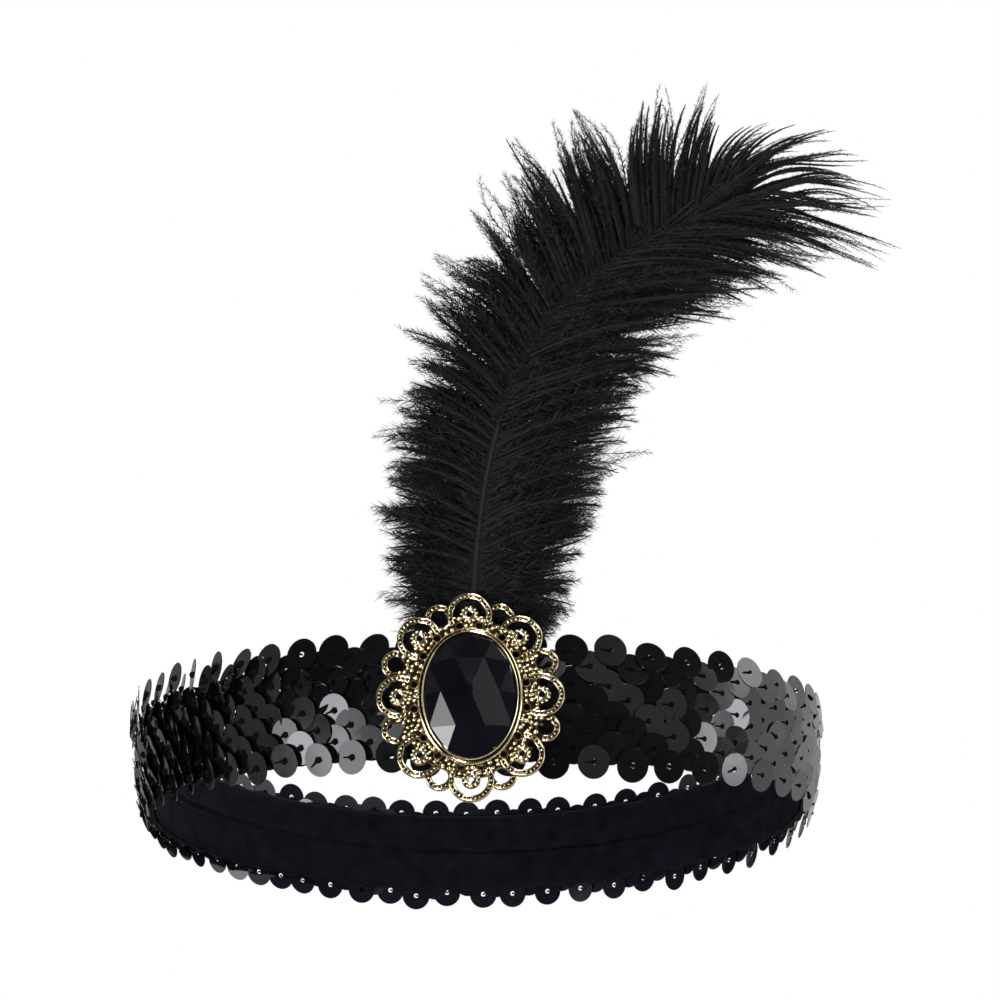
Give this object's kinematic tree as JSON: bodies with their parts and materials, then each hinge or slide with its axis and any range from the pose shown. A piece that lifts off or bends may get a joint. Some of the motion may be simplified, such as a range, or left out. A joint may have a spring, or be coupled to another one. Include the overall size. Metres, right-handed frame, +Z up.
{
  "type": "feather headband",
  "caption": "Stretch headband of shingled black sequins with a pierced gilt brooch, an oval faceted black stone and a curling ostrich plume, shaped as worn.",
  "frame": {"origin": "centre of the loop, on its axis, at the mid-height of the band's front", "axes": "+Z up along the loop's axis towards the plume, -Y towards the brooch, +X the way the plume curls"},
  "size_m": [0.1646, 0.1584, 0.1534],
  "materials": {
    "elastic": "black knitted elastic, slight sheen",
    "sequin": "black gloss, cupped discs with fine rings",
    "gilt": "bright pale gold plating, cast relief",
    "stone": "polished faceted black resin",
    "plume": "dyed black ostrich barbs, soft sheen"
  },
  "bodies": {
    "root": {"elastic_band": "elastic", "sequin_facing": "sequin", "brooch_setting": "gilt", "stone": "stone", "ostrich_plume": "plume"}
  },
  "joints": []
}
